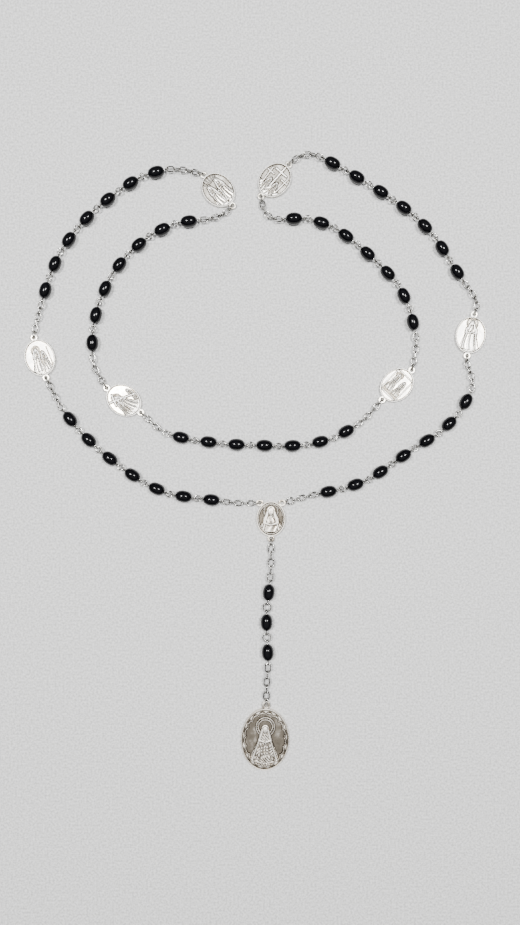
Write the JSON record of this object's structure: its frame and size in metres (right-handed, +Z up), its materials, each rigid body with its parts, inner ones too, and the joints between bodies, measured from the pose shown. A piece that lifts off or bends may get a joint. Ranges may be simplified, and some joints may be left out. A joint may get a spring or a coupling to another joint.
{
  "type": "seven sorrows rosary",
  "caption": "Loop of glossy black oval beads on silver pins, joined by fine chains to oval relief medals, with a centrepiece and a short pendant that ends in a large oval medal.",
  "frame": {"origin": "middle of the centrepiece's flat back, on the table", "axes": "+Y from the end medal towards the far end of the loop, +Z up from the table, +X to the right when looking down with +Y pointing away"},
  "size_m": [0.2313, 0.3104, 0.006],
  "materials": {
    "bead": "polished black",
    "side_medal": "satin silver",
    "centrepiece": "antiqued silver",
    "end_medal": "antiqued silver"
  },
  "bodies": {
    "septet_1_bead_1": {"septet_1_bead_1": "bead"},
    "septet_1_bead_2": {"septet_1_bead_2": "bead"},
    "septet_1_bead_3": {"septet_1_bead_3": "bead"},
    "septet_1_bead_4": {"septet_1_bead_4": "bead"},
    "septet_1_bead_5": {"septet_1_bead_5": "bead"},
    "septet_1_bead_6": {"septet_1_bead_6": "bead"},
    "septet_1_bead_7": {"septet_1_bead_7": "bead"},
    "septet_2_bead_1": {"septet_2_bead_1": "bead"},
    "septet_2_bead_2": {"septet_2_bead_2": "bead"},
    "septet_2_bead_3": {"septet_2_bead_3": "bead"},
    "septet_2_bead_4": {"septet_2_bead_4": "bead"},
    "septet_2_bead_5": {"septet_2_bead_5": "bead"},
    "septet_2_bead_6": {"septet_2_bead_6": "bead"},
    "septet_2_bead_7": {"septet_2_bead_7": "bead"},
    "septet_3_bead_1": {"septet_3_bead_1": "bead"},
    "septet_3_bead_2": {"septet_3_bead_2": "bead"},
    "septet_3_bead_3": {"septet_3_bead_3": "bead"},
    "septet_3_bead_4": {"septet_3_bead_4": "bead"},
    "septet_3_bead_5": {"septet_3_bead_5": "bead"},
    "septet_3_bead_6": {"septet_3_bead_6": "bead"},
    "septet_3_bead_7": {"septet_3_bead_7": "bead"},
    "septet_4_bead_1": {"septet_4_bead_1": "bead"},
    "septet_4_bead_2": {"septet_4_bead_2": "bead"},
    "septet_4_bead_3": {"septet_4_bead_3": "bead"},
    "septet_4_bead_4": {"septet_4_bead_4": "bead"},
    "septet_4_bead_5": {"septet_4_bead_5": "bead"},
    "septet_4_bead_6": {"septet_4_bead_6": "bead"},
    "septet_4_bead_7": {"septet_4_bead_7": "bead"},
    "septet_5_bead_1": {"septet_5_bead_1": "bead"},
    "septet_5_bead_2": {"septet_5_bead_2": "bead"},
    "septet_5_bead_3": {"septet_5_bead_3": "bead"},
    "septet_5_bead_4": {"septet_5_bead_4": "bead"},
    "septet_5_bead_5": {"septet_5_bead_5": "bead"},
    "septet_5_bead_6": {"septet_5_bead_6": "bead"},
    "septet_5_bead_7": {"septet_5_bead_7": "bead"},
    "septet_6_bead_1": {"septet_6_bead_1": "bead"},
    "septet_6_bead_2": {"septet_6_bead_2": "bead"},
    "septet_6_bead_3": {"septet_6_bead_3": "bead"},
    "septet_6_bead_4": {"septet_6_bead_4": "bead"},
    "septet_6_bead_5": {"septet_6_bead_5": "bead"},
    "septet_6_bead_6": {"septet_6_bead_6": "bead"},
    "septet_6_bead_7": {"septet_6_bead_7": "bead"},
    "septet_7_bead_1": {"septet_7_bead_1": "bead"},
    "septet_7_bead_2": {"septet_7_bead_2": "bead"},
    "septet_7_bead_3": {"septet_7_bead_3": "bead"},
    "septet_7_bead_4": {"septet_7_bead_4": "bead"},
    "septet_7_bead_5": {"septet_7_bead_5": "bead"},
    "septet_7_bead_6": {"septet_7_bead_6": "bead"},
    "septet_7_bead_7": {"septet_7_bead_7": "bead"},
    "pendant_bead_1": {"pendant_bead_1": "bead"},
    "pendant_bead_2": {"pendant_bead_2": "bead"},
    "pendant_bead_3": {"pendant_bead_3": "bead"},
    "side_medal_1": {"side_medal_1": "side_medal"},
    "side_medal_2": {"side_medal_2": "side_medal"},
    "side_medal_3": {"side_medal_3": "side_medal"},
    "side_medal_4": {"side_medal_4": "side_medal"},
    "side_medal_5": {"side_medal_5": "side_medal"},
    "side_medal_6": {"side_medal_6": "side_medal"},
    "centrepiece": {"centrepiece": "centrepiece"},
    "end_medal": {"end_medal": "end_medal"}
  },
  "joints": [
    {"name": "septet_4_bead_3_swing", "type": "hinge", "parent": "septet_4_bead_4", "child": "septet_4_bead_3", "pos_m": [-0.00879, 0.037, 0.003], "axis": [0.0432, 0.9991, 0], "range_deg": [-60, 60]},
    {"name": "septet_4_bead_2_swing", "type": "hinge", "parent": "septet_4_bead_3", "child": "septet_4_bead_2", "pos_m": [-0.02283, 0.0374, 0.003], "axis": [-0.0385, -0.9993, 0], "range_deg": [-60, 60]},
    {"name": "septet_4_bead_1_swing", "type": "hinge", "parent": "septet_4_bead_2", "child": "septet_4_bead_1", "pos_m": [-0.03675, 0.03921, 0.003], "axis": [0.1244, 0.9922, 0], "range_deg": [-60, 60]},
    {"name": "side_medal_3_swing", "type": "hinge", "parent": "septet_4_bead_1", "child": "side_medal_3", "pos_m": [-0.05876, 0.04749, 0.00241], "axis": [-0.669, -0.7433, 0], "range_deg": [-60, 60]},
    {"name": "septet_3_bead_7_swing", "type": "hinge", "parent": "side_medal_3", "child": "septet_3_bead_7", "pos_m": [-0.08684, 0.07304, 0.00241], "axis": [0.8779, 0.4789, 0], "range_deg": [-60, 60]},
    {"name": "septet_3_bead_6_swing", "type": "hinge", "parent": "septet_3_bead_7", "child": "septet_3_bead_6", "pos_m": [-0.08933, 0.09367, 0.003], "axis": [-0.9999, 0.0126, 0], "range_deg": [-60, 60]},
    {"name": "septet_3_bead_5_swing", "type": "hinge", "parent": "septet_3_bead_6", "child": "septet_3_bead_5", "pos_m": [-0.08632, 0.10737, 0.003], "axis": [0.972, -0.235, 0], "range_deg": [-60, 60]},
    {"name": "septet_3_bead_4_swing", "type": "hinge", "parent": "septet_3_bead_5", "child": "septet_3_bead_4", "pos_m": [-0.08069, 0.12024, 0.003], "axis": [-0.9111, 0.4122, 0], "range_deg": [-60, 60]},
    {"name": "septet_3_bead_3_swing", "type": "hinge", "parent": "septet_3_bead_4", "child": "septet_3_bead_3", "pos_m": [-0.07243, 0.13156, 0.003], "axis": [0.7887, -0.6148, 0], "range_deg": [-60, 60]},
    {"name": "septet_3_bead_2_swing", "type": "hinge", "parent": "septet_3_bead_3", "child": "septet_3_bead_2", "pos_m": [-0.06183, 0.14076, 0.003], "axis": [-0.6416, 0.767, 0], "range_deg": [-60, 60]},
    {"name": "septet_3_bead_1_swing", "type": "hinge", "parent": "septet_3_bead_2", "child": "septet_3_bead_1", "pos_m": [-0.0494, 0.1472, 0.003], "axis": [0.4271, -0.9042, 0], "range_deg": [-60, 60]},
    {"name": "side_medal_2_swing", "type": "hinge", "parent": "septet_3_bead_1", "child": "side_medal_2", "pos_m": [-0.02588, 0.15171, 0.00241], "axis": [-0.486, 0.874, 0], "range_deg": [-60, 60]},
    {"name": "septet_2_bead_7_swing", "type": "hinge", "parent": "side_medal_2", "child": "septet_2_bead_7", "pos_m": [-0.04216, 0.1745, 0.00241], "axis": [0.1788, 0.9839, 0], "range_deg": [-60, 60]},
    {"name": "septet_2_bead_6_swing", "type": "hinge", "parent": "septet_2_bead_7", "child": "septet_2_bead_6", "pos_m": [-0.06285, 0.17198, 0.003], "axis": [0.265, -0.9642, 0], "range_deg": [-60, 60]},
    {"name": "septet_2_bead_5_swing", "type": "hinge", "parent": "septet_2_bead_6", "child": "septet_2_bead_5", "pos_m": [-0.07495, 0.16494, 0.003], "axis": [-0.5341, 0.8454, 0], "range_deg": [-60, 60]},
    {"name": "septet_2_bead_4_swing", "type": "hinge", "parent": "septet_2_bead_5", "child": "septet_2_bead_4", "pos_m": [-0.086, 0.15628, 0.003], "axis": [0.624, -0.7814, 0], "range_deg": [-60, 60]},
    {"name": "septet_2_bead_3_swing", "type": "hinge", "parent": "septet_2_bead_4", "child": "septet_2_bead_3", "pos_m": [-0.09595, 0.14639, 0.003], "axis": [-0.7202, 0.6938, 0], "range_deg": [-60, 60]},
    {"name": "septet_2_bead_2_swing", "type": "hinge", "parent": "septet_2_bead_3", "child": "septet_2_bead_2", "pos_m": [-0.10427, 0.1351, 0.003], "axis": [0.818, -0.5752, 0], "range_deg": [-60, 60]},
    {"name": "septet_2_bead_1_swing", "type": "hinge", "parent": "septet_2_bead_2", "child": "septet_2_bead_1", "pos_m": [-0.11029, 0.12245, 0.003], "axis": [-0.9165, 0.4001, 0], "range_deg": [-60, 60]},
    {"name": "side_medal_1_swing", "type": "hinge", "parent": "septet_2_bead_1", "child": "side_medal_1", "pos_m": [-0.11726, 0.09946, 0.00241], "axis": [0.9591, -0.2831, 0], "range_deg": [-60, 60]},
    {"name": "septet_1_bead_7_swing", "type": "hinge", "parent": "side_medal_1", "child": "septet_1_bead_7", "pos_m": [-0.10899, 0.06296, 0.00241], "axis": [-0.8944, -0.4472, 0], "range_deg": [-60, 60]},
    {"name": "septet_1_bead_6_swing", "type": "hinge", "parent": "septet_1_bead_7", "child": "septet_1_bead_6", "pos_m": [-0.0971, 0.04556, 0.003], "axis": [0.7873, 0.6166, 0], "range_deg": [-60, 60]},
    {"name": "septet_1_bead_5_swing", "type": "hinge", "parent": "septet_1_bead_6", "child": "septet_1_bead_5", "pos_m": [-0.08714, 0.03567, 0.003], "axis": [-0.6949, -0.7192, 0], "range_deg": [-60, 60]},
    {"name": "septet_1_bead_4_swing", "type": "hinge", "parent": "septet_1_bead_5", "child": "septet_1_bead_4", "pos_m": [-0.07625, 0.02682, 0.003], "axis": [0.6204, 0.7843, 0], "range_deg": [-60, 60]},
    {"name": "septet_1_bead_3_swing", "type": "hinge", "parent": "septet_1_bead_4", "child": "septet_1_bead_3", "pos_m": [-0.06472, 0.01881, 0.003], "axis": [-0.566, -0.8244, 0], "range_deg": [-60, 60]},
    {"name": "septet_1_bead_2_swing", "type": "hinge", "parent": "septet_1_bead_3", "child": "septet_1_bead_2", "pos_m": [-0.05204, 0.01286, 0.003], "axis": [0.3923, 0.9198, 0], "range_deg": [-60, 60]},
    {"name": "septet_1_bead_1_swing", "type": "hinge", "parent": "septet_1_bead_2", "child": "septet_1_bead_1", "pos_m": [-0.03823, 0.01044, 0.003], "axis": [-0.1428, -0.9897, 0], "range_deg": [-60, 60]},
    {"name": "centrepiece_swing", "type": "hinge", "parent": "septet_1_bead_1", "child": "centrepiece", "pos_m": [-0.01435, 0.00797, 0.00241], "axis": [0.0081, 1, 0], "range_deg": [-60, 60]},
    {"name": "pendant_bead_1_swing", "type": "hinge", "parent": "centrepiece", "child": "pendant_bead_1", "pos_m": [0, -0.01975, 0.00241], "axis": [-1, 0, 0], "range_deg": [-60, 60]},
    {"name": "pendant_bead_2_swing", "type": "hinge", "parent": "pendant_bead_1", "child": "pendant_bead_2", "pos_m": [-0.00222, -0.04617, 0.003], "axis": [1, -0.0098, 0], "range_deg": [-60, 60]},
    {"name": "pendant_bead_3_swing", "type": "hinge", "parent": "pendant_bead_2", "child": "pendant_bead_3", "pos_m": [-0.00185, -0.06118, 0.003], "axis": [-0.9991, -0.0427, 0], "range_deg": [-60, 60]},
    {"name": "end_medal_swing", "type": "hinge", "parent": "pendant_bead_3", "child": "end_medal", "pos_m": [-0.00212, -0.08378, 0.00241], "axis": [0.9995, -0.0322, 0], "range_deg": [-60, 60]},
    {"name": "septet_4_bead_5_swing", "type": "hinge", "parent": "septet_4_bead_4", "child": "septet_4_bead_5", "pos_m": [0.00523, 0.03632, 0.003], "axis": [0.0467, -0.9989, 0], "range_deg": [-20, 60]},
    {"name": "septet_4_bead_6_swing", "type": "hinge", "parent": "septet_4_bead_5", "child": "septet_4_bead_6", "pos_m": [0.01924, 0.03723, 0.003], "axis": [-0.2434, 0.9699, 0], "range_deg": [-60, 60]},
    {"name": "septet_4_bead_7_swing", "type": "hinge", "parent": "septet_4_bead_6", "child": "septet_4_bead_7", "pos_m": [0.03276, 0.04098, 0.003], "axis": [0.4982, -0.867, 0], "range_deg": [-60, 60]},
    {"name": "side_medal_4_swing", "type": "hinge", "parent": "septet_4_bead_7", "child": "side_medal_4", "pos_m": [0.04991, 0.05312, 0.00241], "axis": [-0.7474, 0.6644, 0], "range_deg": [-60, 60]},
    {"name": "septet_5_bead_1_swing", "type": "hinge", "parent": "side_medal_4", "child": "septet_5_bead_1", "pos_m": [0.07225, 0.08311, 0.00241], "axis": [0.9884, -0.1521, 0], "range_deg": [-60, 60]},
    {"name": "septet_5_bead_2_swing", "type": "hinge", "parent": "septet_5_bead_1", "child": "septet_5_bead_2", "pos_m": [0.06895, 0.10667, 0.003], "axis": [-0.8975, -0.4411, 0], "range_deg": [-60, 60]},
    {"name": "septet_5_bead_3_swing", "type": "hinge", "parent": "septet_5_bead_2", "child": "septet_5_bead_3", "pos_m": [0.06224, 0.11895, 0.003], "axis": [0.7254, 0.6884, 0], "range_deg": [-60, 60]},
    {"name": "septet_5_bead_4_swing", "type": "hinge", "parent": "septet_5_bead_3", "child": "septet_5_bead_4", "pos_m": [0.05242, 0.12898, 0.003], "axis": [-0.6709, -0.7415, 0], "range_deg": [-60, 60]},
    {"name": "septet_5_bead_5_swing", "type": "hinge", "parent": "septet_5_bead_4", "child": "septet_5_bead_5", "pos_m": [0.042, 0.1384, 0.003], "axis": [0.5865, 0.81, 0], "range_deg": [-60, 60]},
    {"name": "septet_5_bead_6_swing", "type": "hinge", "parent": "septet_5_bead_5", "child": "septet_5_bead_6", "pos_m": [0.03047, 0.14639, 0.003], "axis": [-0.3255, -0.9455, 0], "range_deg": [-60, 60]},
    {"name": "septet_5_bead_7_swing", "type": "hinge", "parent": "septet_5_bead_6", "child": "septet_5_bead_7", "pos_m": [0.01706, 0.15049, 0.003], "axis": [-0.0357, 0.9994, 0], "range_deg": [-60, 60]},
    {"name": "side_medal_5_swing", "type": "hinge", "parent": "septet_5_bead_7", "child": "side_medal_5", "pos_m": [-0.00292, 0.15352, 0.00241], "axis": [-0.8948, -0.4464, 0], "range_deg": [-60, 60]},
    {"name": "septet_6_bead_1_swing", "type": "hinge", "parent": "side_medal_5", "child": "septet_6_bead_1", "pos_m": [0.01624, 0.18242, 0.00241], "axis": [0.3713, -0.9285, 0], "range_deg": [-60, 60]},
    {"name": "septet_6_bead_2_swing", "type": "hinge", "parent": "septet_6_bead_1", "child": "septet_6_bead_2", "pos_m": [0.03814, 0.17384, 0.003], "axis": [0.5139, 0.8578, 0], "range_deg": [-60, 60]},
    {"name": "septet_6_bead_3_swing", "type": "hinge", "parent": "septet_6_bead_2", "child": "septet_6_bead_3", "pos_m": [0.05016, 0.16659, 0.003], "axis": [-0.5362, -0.8441, 0], "range_deg": [-60, 60]},
    {"name": "septet_6_bead_4_swing", "type": "hinge", "parent": "septet_6_bead_3", "child": "septet_6_bead_4", "pos_m": [0.06198, 0.15901, 0.003], "axis": [0.5989, 0.8008, 0], "range_deg": [-60, 60]},
    {"name": "septet_6_bead_5_swing", "type": "hinge", "parent": "septet_6_bead_4", "child": "septet_6_bead_5", "pos_m": [0.07306, 0.1504, 0.003], "axis": [-0.7162, -0.6979, 0], "range_deg": [-60, 60]},
    {"name": "septet_6_bead_6_swing", "type": "hinge", "parent": "septet_6_bead_5", "child": "septet_6_bead_6", "pos_m": [0.08257, 0.1401, 0.003], "axis": [0.8401, 0.5424, 0], "range_deg": [-60, 60]},
    {"name": "septet_6_bead_7_swing", "type": "hinge", "parent": "septet_6_bead_6", "child": "septet_6_bead_7", "pos_m": [0.08992, 0.12815, 0.003], "axis": [-0.8302, -0.5575, 0], "range_deg": [-60, 60]},
    {"name": "side_medal_6_swing", "type": "hinge", "parent": "septet_6_bead_7", "child": "side_medal_6", "pos_m": [0.10226, 0.11103, 0.00241], "axis": [0.9498, 0.313, 0], "range_deg": [-60, 60]},
    {"name": "septet_7_bead_1_swing", "type": "hinge", "parent": "side_medal_6", "child": "septet_7_bead_1", "pos_m": [0.0999, 0.07343, 0.00241], "axis": [-0.9285, -0.3714, 0], "range_deg": [-60, 60]},
    {"name": "septet_7_bead_2_swing", "type": "hinge", "parent": "septet_7_bead_1", "child": "septet_7_bead_2", "pos_m": [0.09312, 0.05146, 0.003], "axis": [0.6938, -0.7202, 0], "range_deg": [-60, 60]},
    {"name": "septet_7_bead_3_swing", "type": "hinge", "parent": "septet_7_bead_2", "child": "septet_7_bead_3", "pos_m": [0.08267, 0.04211, 0.003], "axis": [-0.5297, 0.8482, 0], "range_deg": [-60, 60]},
    {"name": "septet_7_bead_4_swing", "type": "hinge", "parent": "septet_7_bead_3", "child": "septet_7_bead_4", "pos_m": [0.07072, 0.03475, 0.003], "axis": [0.5717, -0.8204, 0], "range_deg": [-60, 60]},
    {"name": "septet_7_bead_5_swing", "type": "hinge", "parent": "septet_7_bead_4", "child": "septet_7_bead_5", "pos_m": [0.05933, 0.02654, 0.003], "axis": [-0.5562, 0.8311, 0], "range_deg": [-60, 60]},
    {"name": "septet_7_bead_6_swing", "type": "hinge", "parent": "septet_7_bead_5", "child": "septet_7_bead_6", "pos_m": [0.04752, 0.01897, 0.003], "axis": [0.3341, -0.9425, 0], "range_deg": [-60, 60]},
    {"name": "septet_7_bead_7_swing", "type": "hinge", "parent": "septet_7_bead_6", "child": "septet_7_bead_7", "pos_m": [0.03414, 0.01479, 0.003], "axis": [-0.2003, 0.9797, 0], "range_deg": [-60, 60]}
  ]
}
